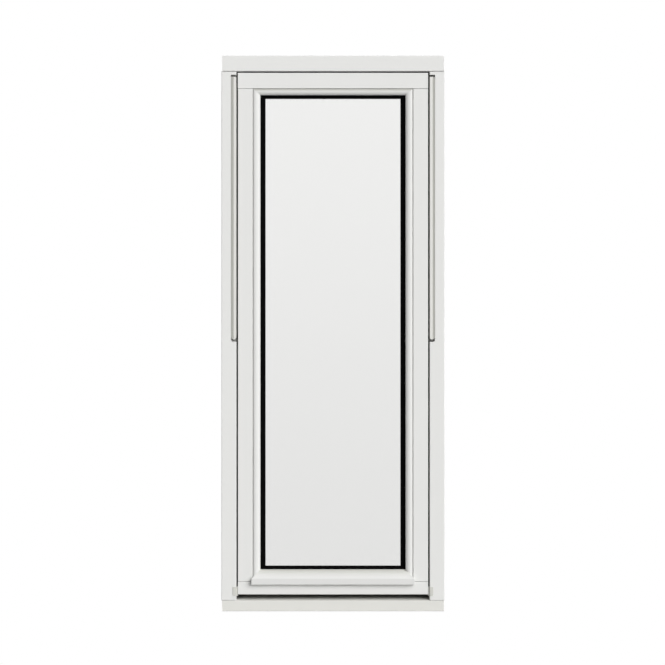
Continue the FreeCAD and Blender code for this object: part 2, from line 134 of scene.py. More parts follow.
class WindowSizes(bpy.types.PropertyGroup):
    """Sizes of the trim that is shaped here."""

    bead_rise: FloatProperty(
        name="Bead rise",
        description="How far a bead's crest stands in front of the sash",
        default=SASH_FRONT - lowest("right_bead").y,
        unit="LENGTH",
    )
    bead_drop: FloatProperty(
        name="Bead drop",
        description="How far a bead's glass edge lies behind the sash's face",
        default=0.0045,
        unit="LENGTH",
    )
    bead_crest: FloatProperty(
        name="Bead crest",
        description="Place of the crest between a bead's shoulder and its glass edge",
        default=0.35,
        subtype="FACTOR",
    )
    quirk: FloatProperty(
        name="Quirk",
        description="Width of the groove between a bead's shoulder and the sash, as a share of the bead",
        default=0.13,
        subtype="FACTOR",
    )
    quirk_depth: FloatProperty(
        name="Quirk depth",
        description="Depth of that groove behind the sash's face",
        default=0.005,
        unit="LENGTH",
    )
    drip_fall: FloatProperty(
        name="Drip fall",
        description="Height of the drip bead's rounded fall, from the glass to the nose",
        default=0.0235,
        unit="LENGTH",
    )
    drip_belly: FloatProperty(
        name="Drip belly",
        description="How far the fall's middle stands out from a straight slope, forward and up",
        default=0.0024,
        unit="LENGTH",
    )
    drip_undercut: FloatProperty(
        name="Drip undercut",
        description="How far the drip bead's front leans back at its foot",
        default=0.0018,
        unit="LENGTH",
    )
    drip_groove: FloatProperty(
        name="Drip groove",
        description="Radius of the groove under the drip bead",
        default=0.002,
        unit="LENGTH",
    )
    strip_bar: FloatProperty(
        name="Strip bar",
        description="Width of the bar that stands on a stop strip",
        default=0.0075,
        unit="LENGTH",
    )
    strip_round: FloatProperty(
        name="Strip bar round",
        description="Radius of that bar's edges",
        default=0.0006,
        unit="LENGTH",
    )
    strip_groove: FloatProperty(
        name="Strip groove",
        description="Depth of a strip's flange behind the frame's face",
        default=0.0004,
        unit="LENGTH",
    )
    strip_foot: FloatProperty(
        name="Strip foot",
        description="Radius of the corners at a strip's foot",
        default=0.006,
        unit="LENGTH",
    )
    strip_head: FloatProperty(
        name="Strip head",
        description="Radius of the corners at a strip's head",
        default=0.003,
        unit="LENGTH",
    )
    rose_round: FloatProperty(
        name="Rose round",
        description="Radius of the rim of the handle's rose",
        default=0.003,
        unit="LENGTH",
    )
    neck_radius: FloatProperty(
        name="Neck radius",
        description="Radius of the neck between the rose and the lever",
        default=0.008,
        unit="LENGTH",
    )
    lever_thickness: FloatProperty(
        name="Lever thickness",
        description="Thickness of the lever's grip",
        default=0.011,
        unit="LENGTH",
    )
    lever_tip: FloatProperty(
        name="Lever tip",
        description="Height of the lever's grip at its tip, as a share of its height at the root",
        default=0.73,
        subtype="FACTOR",
    )
    edge: FloatProperty(
        name="Softened edge",
        description="Width of the worn edge on painted and coated trim",
        default=0.0004,
        unit="LENGTH",
    )


class WindowFinish(bpy.types.PropertyGroup):
    """Colours and gloss of the window."""

    paint: FloatVectorProperty(
        name="Paint",
        description="Colour of the painted timber",
        default=(0.83, 0.83, 0.812),
        subtype="COLOR",
        min=0,
        max=1,
    )
    sill: FloatVectorProperty(
        name="Sill",
        description="Colour of the sill, which is a little greyed by weather",
        default=(0.82, 0.815, 0.775),
        subtype="COLOR",
        min=0,
        max=1,
    )
    metal: FloatVectorProperty(
        name="Coated metal",
        description="Colour of the stop strips and the handle",
        default=(0.79, 0.785, 0.75),
        subtype="COLOR",
        min=0,
        max=1,
    )
    # The flange's grey is painted shade: it stands in for the shade in the recess beside the strip's bar.
    flange: FloatVectorProperty(
        name="Strip flange",
        description="Colour of the stop strips beside their bar",
        default=(0.47, 0.47, 0.435),
        subtype="COLOR",
        min=0,
        max=1,
    )
    plastic: FloatVectorProperty(
        name="Guide blocks",
        description="Colour of the moulded guide blocks",
        default=(0.66, 0.66, 0.615),
        subtype="COLOR",
        min=0,
        max=1,
    )
    rubber: FloatVectorProperty(
        name="Gaskets",
        description="Colour of the rubber gaskets and seals",
        default=(0.002, 0.002, 0.002),
        subtype="COLOR",
        min=0,
        max=1,
    )
    glass: FloatVectorProperty(
        name="Glass",
        description="Colour that one face of a sheet of glass gives to what is seen through it",
        default=(0.93, 0.93, 0.925),
        subtype="COLOR",
        min=0,
        max=1,
    )
    steel: FloatVectorProperty(
        name="Plated steel",
        description="Colour of the pivots",
        default=(0.62, 0.62, 0.60),
        subtype="COLOR",
        min=0,
        max=1,
    )
    gloss: FloatProperty(
        name="Paint roughness",
        description="Roughness of the paint, from mirror to matt",
        default=0.42,
        subtype="FACTOR",
        min=0,
        max=1,
    )
    # Painted shade: the drip bead's paint is darker just below the glass, where the corner lies in shade.
    foot_shade: FloatVectorProperty(
        name="Foot shade",
        description="Colour of the shaded paint at the foot of the glass",
        default=(0.78, 0.78, 0.73),
        subtype="COLOR",
        min=0,
        max=1,
    )
    foot_shade_fall: FloatProperty(
        name="Dust line",
        description="Height over which the dust fades out below the glass",
        default=0.020,
        unit="LENGTH",
    )
    # Painted shade: the top bead's upper arc is painted darker, with a thin band of it below.
    ledge_shade: FloatVectorProperty(
        name="Ledge dirt",
        description="Colour of the dirt that lies on the top bead",
        default=(0.59, 0.59, 0.55),
        subtype="COLOR",
        min=0,
        max=1,
    )
    ledge_shade_reach: FloatProperty(
        name="Ledge reach",
        description="How far that dirt comes down the top bead's face",
        default=0.009,
        unit="LENGTH",
    )
    ledge_shade_least: FloatProperty(
        name="Ledge band",
        description="Strength of the thin band of it below",
        default=0.2,
        subtype="FACTOR",
        min=0,
        max=1,
    )
    # Painted shadow: the sill's slope is painted darker under the sash, more so further in.
    under_sash_shade_reach: FloatProperty(
        name="Sash shadow reach",
        description="Depth over which the shadow on the sill's slope thickens, from the weather face",
        default=0.060,
        unit="LENGTH",
    )
    under_sash_shade_lightness: FloatProperty(
        name="Sash shadow shade",
        description="Lightness of that shadow, as a share of the sill's",
        default=0.25,
        subtype="FACTOR",
        min=0,
        max=1,
    )
    # The joint line is painted shade: the paint is darker in the end grooves of the jambs and stiles.
    joint: FloatProperty(
        name="Joint line",
        description="Width of the dark line where the paint has darkened at the ends of the uprights",
        default=0.0013,
        unit="LENGTH",
    )
    joint_depth: FloatProperty(
        name="Joint depth",
        description="Depth of the groove that holds that line, from the weather face",
        default=0.004,
        unit="LENGTH",
    )
    joint_shade: FloatProperty(
        name="Joint shade",
        description="Lightness of that line, as a share of the paint's",
        default=0.42,
        subtype="FACTOR",
        min=0,
        max=1,
    )


class WindowStudio(bpy.types.PropertyGroup):
    """Light and camera."""

    key: FloatProperty(
        name="Key light",
        description="Strength of the soft light from the front, the right and above",
        default=2.76,
    )
    fill: FloatProperty(
        name="Back fill",
        description="Strength of the soft light on the room side",
        default=1.6,
    )
    softness: FloatProperty(
        name="Softness",
        description="Angle that each light fills, as seen from the window",
        default=math.radians(47),
        subtype="ANGLE",
    )
    ambient: FloatProperty(
        name="Ambient",
        description="Level of the even light from all round",
        default=0.12,
    )
    front_wash: FloatProperty(
        name="Front wash",
        description="Level of the light that comes from straight in front and fades to the sides",
        default=0.3,
    )
    back_wash: FloatProperty(
        name="Back wash",
        description="Level of the same kind of light from behind, on the room side",
        default=0.6,
    )
    distance: FloatProperty(
        name="Camera distance",
        description="From the camera to the frame's weather face",
        default=8.0,
        unit="LENGTH",
    )
    view_width: FloatProperty(
        name="View width",
        description="Width of the picture at the frame's weather face",
        default=1.78885,
        unit="LENGTH",
    )


class Value:
    """A shader socket in Python sums: each operation adds one Math node."""

    def __init__(self, recipe, socket):
        self.recipe = recipe
        self.socket = socket

    def math(self, operation, left, right):
        return self.recipe.node("ShaderNodeMath", {"operation": operation}, {0: left, 1: right})

    def __add__(self, other):
        return self.math("ADD", self, other)

    def __radd__(self, other):
        return self.math("ADD", other, self)

    def __sub__(self, other):
        return self.math("SUBTRACT", self, other)

    def __rsub__(self, other):
        return self.math("SUBTRACT", other, self)

    def __mul__(self, other):
        return self.math("MULTIPLY", self, other)

    def __rmul__(self, other):
        return self.math("MULTIPLY", other, self)

    def __pow__(self, other):
        return self.math("POWER", self, other)

    def __mod__(self, other):
        return self.math("FLOORED_MODULO", self, other)

    def __lt__(self, other):
        return self.math("LESS_THAN", self, other)

    def __gt__(self, other):
        return self.math("GREATER_THAN", self, other)

    def at_least(self, other):
        return self.math("MAXIMUM", self, other)

    def size(self):
        return self.math("ABSOLUTE", self, 0.0)


class Recipe:
    """A node tree that is filled by one method."""

    def __init__(self, tree):
        self.tree = tree
        self.tree.nodes.clear()

    def node(self, kind, settings=None, inputs=None, output=0):
        """A node of one kind: its settings first, then its sockets, and one output as a Value."""
        made = self.tree.nodes.new(kind)
        for name, setting in (settings or {}).items():
            setattr(made, name, setting)
        for name, value in (inputs or {}).items():
            if isinstance(value, Value):
                self.tree.links.new(value.socket, made.inputs[name])
            else:
                made.inputs[name].default_value = value
        return Value(self, made.outputs[output]) if len(made.outputs) else made

    def axis(self, letter):
        """One object coordinate, in metres."""
        point = self.node("ShaderNodeTexCoord", output="Object")
        return self.node("ShaderNodeSeparateXYZ", {}, {"Vector": point}, output=letter)

    def noise(self, scale, detail, roughness=0.5):
        """Soft noise about 0.5 in object coordinates. The scale is features a metre, as one number for
        all axes or one for each."""
        point = self.node("ShaderNodeTexCoord", output="Object")
        scales = scale if isinstance(scale, tuple) else (scale,) * 3
        place = self.node("ShaderNodeMapping", {}, {"Vector": point, "Scale": scales})
        return self.node(
            "ShaderNodeTexNoise",
            {},
            {"Vector": place, "Scale": 1.0, "Detail": detail, "Roughness": roughness},
        )

    def step(self, value, start, end, first, last):
        """A smooth step from a first level to a last one, while a value goes from start to end."""
        return self.node(
            "ShaderNodeMapRange",
            {"interpolation_type": "SMOOTHSTEP"},
            {"Value": value, "From Min": start, "From Max": end, "To Min": first, "To Max": last},
        )

    def ray(self, kind):
        """One for rays of a kind, such as Camera or Glossy, and nought for the others."""
        return self.node("ShaderNodeLightPath", output="Is " + kind + " Ray")

    def blend(self, factor, first, second):
        """A colour between two by a factor."""
        return self.node(
            "ShaderNodeMix",
            {"data_type": "RGBA"},
            {0: factor, 6: first, 7: second},
            output=2,
        )

    def shades(self, factor, colour, low, high):
        """A colour whose lightness goes from a low share to a high one by a factor."""
        return self.blend(factor, tone(colour, low), tone(colour, high))

    def bump(self, height, strength, distance):
        """A normal from a height."""
        return self.node(
            "ShaderNodeBump", {}, {"Height": height, "Strength": strength, "Distance": distance}
        )

    def principled(self, **inputs):
        """A Principled shader. An underscore stands for a space in a socket's name."""
        sockets = {name.replace("_", " "): value for name, value in inputs.items()}
        return self.node("ShaderNodeBsdfPrincipled", {}, sockets)

    def glow(self, colour):
        """A shader that gives off a colour."""
        return self.node("ShaderNodeEmission", {}, {"Color": colour, "Strength": 1.0})

    def mix(self, factor, first, second):
        """A mix of two shaders."""
        return self.node("ShaderNodeMixShader", {}, {0: factor, 1: first, 2: second})

    def output(self, shader, kind="ShaderNodeOutputMaterial"):
        """The tree's output."""
        self.node(kind, {}, {"Surface": shader})


def new_material(name):
    """An empty node material and its recipe."""
    material = bpy.data.materials.new(name)
    material.use_nodes = True
    return material, Recipe(material.node_tree)


def tone(colour, share=1.0):
    """A colour with its lightness scaled, as the four numbers that a socket takes."""
    return (*(min(1.0, channel * share) for channel in colour), 1.0)


def grey(level):
    """A grey of one lightness, as the four numbers that a socket takes."""
    return (level, level, level, 1.0)


def patchy(mottle, swing):
    """A strength of about one that follows the mottle, by a swing from its least to its most."""
    return 1 - swing / 2 + mottle * swing


def end_groove_shade(upright):
    """A painted shade for an upright: a dark line painted in the grooves at both ends, where shade falls
    in the joint.
    """

    def painted_shade(recipe, finish, mottle):
        low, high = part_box(upright)
        half = (high.z - low.z) / 2
        reach = (recipe.axis("Z") - (low.z + high.z) / 2).size()
        end_line = recipe.step(reach, half - finish.joint, half - finish.joint / 2, 0.0, 1.0)
        groove = recipe.axis("Y") < low.y + finish.joint_depth
        return end_line * groove, tone(finish.paint, finish.joint_shade)

    return painted_shade


def glass_foot_shade(recipe, finish, mottle):
    """A painted shade for the drip bead: darker paint at the foot of the glass, where the corner lies in
    shade, thinner downwards.
    """
    low = SIGHT_BOTTOM - finish.foot_shade_fall
    foot_shade = recipe.step(recipe.axis("Z"), low, SIGHT_BOTTOM, 0.0, patchy(mottle, swing=0.6))
    return foot_shade, tone(finish.foot_shade)


def top_bead_shade(recipe, finish, mottle):
    """A painted shade for the top bead: darker paint on its upper arc, and a thin band of it below."""
    low = REBATE_TOP - finish.ledge_shade_reach
    shading = recipe.step(recipe.axis("Z"), low, low + finish.ledge_shade_reach / 2, finish.ledge_shade_least, 1.0)
    return shading * patchy(mottle, swing=0.4), tone(finish.ledge_shade)


def sill_slope_shade(recipe, finish, mottle):
    """A painted shadow for the sill: darker paint on its slope between the jambs, deeper further in under
    the sash.
    """
    jamb = lowest("right_jamb")
    slope = (recipe.axis("X").size() < jamb.x) * (recipe.axis("Z") > jamb.z)
    under = recipe.axis("Y") < highest("right_stile").y
    depth = recipe.step(recipe.axis("Y"), FRAME_FRONT, FRAME_FRONT + finish.under_sash_shade_reach, 0.0, 1.0)
    return slope * under * depth, tone(finish.sill, finish.under_sash_shade_lightness)


def painted_timber(name, along, colour, finish, painted_shade=None):
    """Sprayed paint over timber: faint grain along one axis, a slight mottle and orange peel. A painted
    shade gives a mask and the darker colour that the paint has under it."""
    material, recipe = new_material(name)
    scales = tuple(GRAIN_ALONG if axis == along else GRAIN_ACROSS for axis in "XYZ")
    grain = recipe.noise(scales, detail=5.0, roughness=0.6)
    mottle = recipe.noise(scale=5.0, detail=3.0)
    peel = recipe.noise(scale=650.0, detail=2.0)
    tint = mottle * 0.6 + grain * 0.4
    relief = grain * 0.7 + peel * 0.3
    paint = recipe.shades(tint, colour, low=0.985, high=1.015)
    if painted_shade:
        mask, shaded_colour = painted_shade(recipe, finish, mottle)
        paint = recipe.blend(mask, paint, shaded_colour)
    recipe.output(
        recipe.principled(
            Base_Color=paint,
            Roughness=finish.gloss - 0.05 + mottle * 0.06 + grain * 0.04,
            Specular_IOR_Level=0.4,
            Normal=recipe.bump(relief, strength=0.12, distance=0.0004),
        )
    )
    return material


def powder_coat(name, colour):
    """Powder coating on metal: a fine pebbled skin with a satin sheen."""
    material, recipe = new_material(name)
    pebble = recipe.noise(scale=900.0, detail=2.0)
    mottle = recipe.noise(scale=12.0, detail=2.0)
    recipe.output(
        recipe.principled(
            Base_Color=recipe.shades(mottle, colour, low=0.98, high=1.02),
            Roughness=0.36 + pebble * 0.08,
            Normal=recipe.bump(pebble, strength=0.1, distance=0.0003),
        )
    )
    return material


def moulded_plastic(name, finish):
    """Moulded plastic with a fine spark-eroded texture."""
    material, recipe = new_material(name)
    skin = recipe.noise(scale=1400.0, detail=2.0)
    cloud = recipe.noise(scale=60.0, detail=2.0)
    recipe.output(
        recipe.principled(
            Base_Color=recipe.shades(cloud, finish.plastic, low=0.97, high=1.03),
            Roughness=0.45 + skin * 0.12,
            Normal=recipe.bump(skin, strength=0.15, distance=0.0002),
        )
    )
    return material


def rubber(name, finish):
    """Extruded rubber: matt black with a trace of bloom."""
    material, recipe = new_material(name)
    bloom = recipe.noise(scale=40.0, detail=3.0)
    skin = recipe.noise(scale=1600.0, detail=1.0)
    recipe.output(
        recipe.principled(
            Base_Color=recipe.shades(bloom, finish.rubber, low=0.6, high=1.6),
            Roughness=0.7 + bloom * 0.15,
            Specular_IOR_Level=0.03,
            Normal=recipe.bump(skin, strength=0.12, distance=0.0002),
        )
    )
    return material


def float_glass(name, finish):
    """Clear float glass with a trace of roller wave. Light passes to what is behind it."""
    material, recipe = new_material(name)
    wave = recipe.noise((1.6, 1.6, 3.2), detail=1.0)
    smear = recipe.noise((9.0, 9.0, 5.0), detail=3.0)
    glass = recipe.principled(
        Base_Color=tone(finish.glass),
        Roughness=smear * 0.012,
        IOR=1.5,
        Transmission_Weight=1.0,
        Normal=recipe.bump(wave, strength=0.05, distance=0.002),
    )
    clear = recipe.node("ShaderNodeBsdfTransparent", {}, {"Color": tone(finish.glass)})
    recipe.output(recipe.mix(recipe.ray("Shadow"), glass, clear))
    return material


def plated_steel(name, finish):
    """Zinc-plated steel: brushed lines under a cloudy passivated film."""
    material, recipe = new_material(name)
    brushed = recipe.noise((60.0, 900.0, 60.0), detail=3.0)
    cloud = recipe.noise(scale=70.0, detail=3.0)
    recipe.output(
        recipe.principled(
            Base_Color=recipe.shades(cloud, finish.steel, low=0.9, high=1.08),
            Metallic=1.0,
            Roughness=0.28 + brushed * 0.14,
            Normal=recipe.bump(brushed, strength=0.08, distance=0.0002),
        )
    )
    return material


def spacer_metal(name, finish):
    """Dark spacer bar with a row of pinholes along its middle."""
    material, recipe = new_material(name)
    low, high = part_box("spacer_bar")
    across = recipe.axis("Y") - (low.y + high.y) / 2
    along = (recipe.axis("X") + recipe.axis("Z")) % PINHOLE_PITCH - PINHOLE_PITCH / 2
    pinhole = along * along + across * across < PINHOLE_RADIUS * PINHOLE_RADIUS
    cloud = recipe.noise(scale=50.0, detail=2.0)
    bar = recipe.blend(cloud, grey(0.012), grey(0.03))
    recipe.output(
        recipe.principled(
            Base_Color=recipe.blend(pinhole, bar, grey(0.0)),
            Roughness=0.4 + cloud * 0.1,
            Normal=recipe.bump(1 - pinhole, strength=0.3, distance=0.0004),
        )
    )
    return material


FINISHES = {
    "upright_paint": lambda name, finish: painted_timber(name, "Z", finish.paint, finish),
    "rail_paint": lambda name, finish: painted_timber(name, "X", finish.paint, finish),
    # Jambs and stiles carry painted shade in the grooves at their ends.
    "jamb_paint": lambda name, finish: painted_timber(
        name, "Z", finish.paint, finish, end_groove_shade("right_jamb")
    ),
    "stile_paint": lambda name, finish: painted_timber(
        name, "Z", finish.paint, finish, end_groove_shade("right_stile")
    ),
    # The top bead carries painted shade on its upper arc.
    "ledge_paint": lambda name, finish: painted_timber(name, "X", finish.paint, finish, top_bead_shade),
    # The drip bead carries painted shade just below the glass.
    "drip_paint": lambda name, finish: painted_timber(name, "X", finish.paint, finish, glass_foot_shade),
    # The sill carries a painted shadow on its slope under the sash.
    "sill_paint": lambda name, finish: painted_timber(name, "X", finish.sill, finish, sill_slope_shade),
    "white_coat": lambda name, finish: powder_coat(name, finish.metal),
    # Painted shade on the stop strips' flanges.
    "grey_coat": lambda name, finish: powder_coat(name, finish.flange),
    "moulded_plastic": moulded_plastic,
    "rubber": rubber,
    "float_glass": float_glass,
    "plated_steel": plated_steel,
    "spacer_metal": spacer_metal,
}


def material_of(name, context):
    """The material of that name, made when it is first asked for."""
    return bpy.data.materials.get(name) or FINISHES[name](name, context.scene.window_finish)


def dress(context, finish_name, *nodes):
    """Gives nodes of the frame a material in their own slots."""
    material = material_of(finish_name, context)
    for name in nodes:
        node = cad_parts[name]
        if not node.material_slots:
            node.data.materials.append(material)
        for slot in node.material_slots:
            slot.material = material


def both(*names):
    """The left-hand and right-hand nodes of a pair."""
    return [side + "_" + name for name in names for side in SIDES]


def rounded(corners):
    """A closed outline of corners (a, b, radius), each turned into a tangent arc.

    Unit directions run from a corner to its neighbours. The arc's centre lies on their bisector at
    the radius over the sine of the half angle. Its points are the centre plus an arm that turns
    evenly from one tangent point to the other.
    """
    table = np.asarray(corners, float)
    here, radius = table[:, :2], table[:, 2:]
    to_last = np.roll(here, 1, axis=0) - here
    to_next = np.roll(here, -1, axis=0) - here
    to_last /= np.linalg.norm(to_last, axis=1, keepdims=True)
    to_next /= np.linalg.norm(to_next, axis=1, keepdims=True)
    half = np.arccos(np.clip((to_last * to_next).sum(axis=1, keepdims=True), -1, 1)) / 2
    middle = to_last + to_next
    middle /= np.linalg.norm(middle, axis=1, keepdims=True)
    centre = here + middle * radius / np.sin(half)
    first = here + to_last * radius / np.tan(half) - centre
    last = here + to_next * radius / np.tan(half) - centre
    turn = (np.pi - 2 * half)[:, None, :]
    share = np.linspace(0, 1, CORNER_POINTS)[None, :, None]
    arm = np.sin((1 - share) * turn) * first[:, None] + np.sin(share * turn) * last[:, None]
    return (centre[:, None] + arm / np.sin(turn)).reshape(-1, 2)


def arc_through(first, middle, last, count=ARC_POINTS):
    """Points along the circle through three points: the centre solves two equal-distance
    equations, and the angle runs evenly from the first point to the last by way of the middle."""
    a, b, c = (np.asarray(point, float) for point in (first, middle, last))
    rows = np.array([b - a, c - a])
    centre = np.linalg.solve(rows, np.array([(b @ b - a @ a) / 2, (c @ c - a @ a) / 2]))
    angles = np.unwrap([math.atan2(*(point - centre)[::-1]) for point in (a, b, c)])
    sweep = np.linspace(angles[0], angles[2], count)[:, None]
    radius = np.linalg.norm(a - centre)
    return centre + radius * np.hstack([np.cos(sweep), np.sin(sweep)])


def quarter_drop(distance, radius):
    """How far a rounded edge lies below its flat, at a distance in from the edge: the radius less
    the height of the quarter circle there."""
    inside = np.clip(radius - distance, 0, radius)
    return radius - np.sqrt(radius**2 - inside**2)


def half_round(distance, radius):
    """Width of a half-round end at a distance in from its tip, as a share of its full width: the
    height of the unit circle there."""
    return np.sqrt(1 - np.clip(1 - distance / radius, 0, 1) ** 2)


def eased():
    """Shares from nought to one that lie closer together at both ends: half of one less a cosine."""
    return (1 - np.cos(np.linspace(0, np.pi, ARC_POINTS))) / 2


def along_axis(axis, profile, places):
    """A profile carried straight along an axis: one ring for each row of places.

    The profile holds the two coordinates across the axis, in X, Y, Z order. A row of places holds
    where the ring's points stand along the axis, one number for all or one for each point.
    """
    rings = np.empty((len(places), len(profile), 3))
    across = [number for number in range(3) if number != "XYZ".index(axis)]
    rings[:, :, across] = profile[None]
    rings[:, :, "XYZ".index(axis)] = np.stack([np.broadcast_to(row, len(profile)) for row in places])
    return rings


def ring_faces(stations, count, ends):
    """Quads from ring to ring. The ends are looped back to each other, closed by one flat face
    each, or laced: the ring's first half is joined straight across to its second half."""
    last = stations if ends == "loop" else stations - 1
    ring, spot = np.meshgrid(np.arange(last), np.arange(count), indexing="ij")
    after, beside = (ring + 1) % stations, (spot + 1) % count
    quads = [ring * count + spot, ring * count + beside, after * count + beside, after * count + spot]
    faces = np.stack(quads, -1).reshape(-1, 4).tolist()
    starts = np.array([0, (stations - 1) * count])
    if ends == "flat":
        faces += (starts[:, None] + np.arange(count)).tolist()
    if ends == "laced":
        near = np.arange(count // 2 - 1)
        lace = np.stack([near, near + 1, count - 2 - near, count - 1 - near], -1)
        faces += (starts[:, None, None] + lace).reshape(-1, 4).tolist()
    return faces


def make_piece(context, name, rings, finish_name, nodes, ends="flat", edge=0.0, cuts=()):
    """A piece of the window from rings of points, sawn by planes, with its edges softened by a bevel."""
    mesh = bpy.data.meshes.new(name)
    mesh.from_pydata(rings.reshape(-1, 3).tolist(), [], ring_faces(*rings.shape[:2], ends))
    tidy_mesh(mesh, cuts)
    piece = bpy.data.objects.new(name, mesh)
    context.scene.collection.objects.link(piece)
    mesh.materials.append(material_of(finish_name, context))
    if edge > 0:
        bevel = piece.modifiers.new("soft_edges", "BEVEL")
        bevel.width = edge
        bevel.segments = BEVEL_SEGMENTS
        bevel.limit_method = "ANGLE"
        bevel.angle_limit = SHARP_ANGLE
        bevel.harden_normals = True
    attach(piece, BODY)
    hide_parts(*nodes)
    return piece


def tidy_mesh(mesh, cuts):
    """Merges doubles, saws off and closes what lies outside each cut (a place and an outward normal),
    drops faces without area, turns faces outward and keeps real edges sharp."""
    work = bmesh.new()
    work.from_mesh(mesh)
    bmesh.ops.remove_doubles(work, verts=work.verts, dist=MERGE_DISTANCE)
    for place, outward in cuts:
        sawn = bmesh.ops.bisect_plane(
            work,
            geom=[*work.verts, *work.edges, *work.faces],
            dist=MERGE_DISTANCE,
            plane_co=place,
            plane_no=outward,
            clear_outer=True,
        )
        rim = [part for part in sawn["geom_cut"] if isinstance(part, bmesh.types.BMEdge)]
        bmesh.ops.holes_fill(work, edges=rim)
    bmesh.ops.dissolve_degenerate(work, dist=MERGE_DISTANCE, edges=work.edges)
    bmesh.ops.recalc_face_normals(work, faces=work.faces)
    work.to_mesh(mesh)
    work.free()
    mesh.shade_smooth()
    mesh.set_sharp_from_angle(angle=SHARP_ANGLE)


def bead_outline(sizes, outer, inner):
    """A bead's section as (place across, depth): one arc from the shoulder over the crest to the
    glass edge, then the back and the quirk beside the sash."""
    shoulder = outer + (inner - outer) * sizes.quirk
    crest = shoulder + (inner - shoulder) * sizes.bead_crest
    face = arc_through(
        (shoulder, SASH_FRONT),
        (crest, SASH_FRONT - sizes.bead_rise),
        (inner, SASH_FRONT + sizes.bead_drop),
    )
    quirk = SASH_FRONT + sizes.quirk_depth
    rest = [(inner, BEAD_BACK), (outer, BEAD_BACK), (outer, quirk), (shoulder, quirk)]
    return np.vstack([face, rest])


def drip_fall(sizes):
    """The drip bead's rounded fall as (depth, height): one arc from the glass to the nose."""
    top = np.array([BEAD_BACK, SIGHT_BOTTOM])
    nose = np.array([lowest("drip_bead").y, SIGHT_BOTTOM - sizes.drip_fall])
    belly = np.array([-sizes.drip_belly, sizes.drip_belly])
    return arc_through(top, (top + nose) / 2 + belly, nose)


def drip_outline(sizes):
    """The drip bead's section as (depth, height): the fall, the front, the groove and the back."""
    low = lowest("drip_bead")
    middle = (low.y + SASH_FRONT) / 2
    radius = sizes.drip_groove
    groove = arc_through(
        (middle - radius, low.z), (middle, low.z + radius), (middle + radius, low.z), CORNER_POINTS
    )
    front = [(low.y + sizes.drip_undercut, low.z)]
    back = [(SASH_FRONT, low.z), (SASH_FRONT, REBATE_BOTTOM), (BEAD_BACK, REBATE_BOTTOM)]
    return np.vstack([drip_fall(sizes), front, groove, back])


def drip_rings(sizes):
    """The drip bead's section along X. Outside the rebate it is held in front of the sash's face,
    where its height is held to the fall's height over that face."""
    outline = drip_outline(sizes)
    fall = drip_fall(sizes)[::-1]
    front = outline.copy()
    behind = outline[:, 0] > SASH_FRONT
    brow = np.interp(SASH_FRONT, fall[:, 0], fall[:, 1])
    front[behind] = np.column_stack(
        [np.full(behind.sum(), SASH_FRONT), np.minimum(outline[behind, 1], brow)]
    )
    outer = along_axis("X", front, [-DRIP_HALF, -REBATE_HALF])
    inner = along_axis("X", outline, [-REBATE_HALF, REBATE_HALF])
    return np.concatenate([outer, inner, along_axis("X", front, [REBATE_HALF, DRIP_HALF])])


def foot_mitre(sizes, across):
    """Height of the mitre between a side bead's foot and the drip bead: a straight line from the
    corner of the sight line to the nose's brow at the drip bead's end."""
    return SIGHT_BOTTOM - sizes.drip_fall * (across - SIGHT_HALF) / (DRIP_HALF - SIGHT_HALF)


def foot_cuts(sizes):
    """The mitre planes as a place and an outward normal each, which saw the drip bead's fall."""
    run = DRIP_HALF - SIGHT_HALF
    return [
        ((sign * SIGHT_HALF, SASH_FRONT, SIGHT_BOTTOM), (sign * sizes.drip_fall, 0.0, run))
        for sign in SIDES.values()
    ]


def strip_rings(sizes, sign):
    """A stop strip along Z.

    The first half of its section runs from the joint to the jamb: the bar's face less a quarter
    circle at each edge, then the flange. The second half is the back, point for point. The ends
    are quarter circles too, by the distance from the nearer side.
    """
    low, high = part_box("right_stop_strip")
    bar = low.x + sizes.strip_bar
    face = low.x + sizes.strip_bar * eased()
    flange = bar + (high.x - bar) * eased()
    drop = quarter_drop(np.minimum(face - low.x, bar - face), sizes.strip_round)
    across = np.concatenate([face, flange])
    depth = np.concatenate([low.y + drop, np.full(len(flange), FRAME_FRONT + sizes.strip_groove)])
    back = np.full(len(across), high.y)
    outline = np.column_stack([np.append(across, across[::-1]), np.append(depth, back)])
    side = np.minimum(outline[:, 0] - low.x, high.x - outline[:, 0])
    foot = low.z + quarter_drop(side, sizes.strip_foot)
    head = high.z - quarter_drop(side, sizes.strip_head)
    outline[:, 0] *= sign
    return along_axis("Z", outline, [foot, head])


class WINDOW_OT_frame_paint(bpy.types.Operator):
    """Paint the frame and its room side stops"""

    bl_idname = "window.frame_paint"
    bl_label = "Paint Frame"

    def execute(self, context):
        dress(context, "rail_paint", "head")
        dress(context, "sill_paint", "sill")
        dress(context, "jamb_paint", *both("jamb"))
        dress(context, "upright_paint", *both("inner_stop"))
        return {"FINISHED"}


class WINDOW_OT_sash_paint(bpy.types.Operator):
    """Paint the sash and its room side covers"""

    bl_idname = "window.sash_paint"
    bl_label = "Paint Sash"

    def execute(self, context):
        dress(context, "rail_paint", "top_rail", "bottom_rail", "top_cover")
        dress(context, "stile_paint", *both("stile"))
        dress(context, "upright_paint", *both("side_cover"))
        return {"FINISHED"}


class WINDOW_OT_glazing(bpy.types.Operator):
    """Finish the panes, the spacer bar and what holds them in the sash"""

    bl_idname = "window.glazing"
    bl_label = "Glaze Sash"

    def execute(self, context):
        dress(context, "float_glass", "outer_pane", "inner_pane")
        dress(context, "spacer_metal", "spacer_bar")
        dress(context, "rubber", "edge_seal", "setting_blocks", "outer_gasket", "inner_gasket")
        return {"FINISHED"}


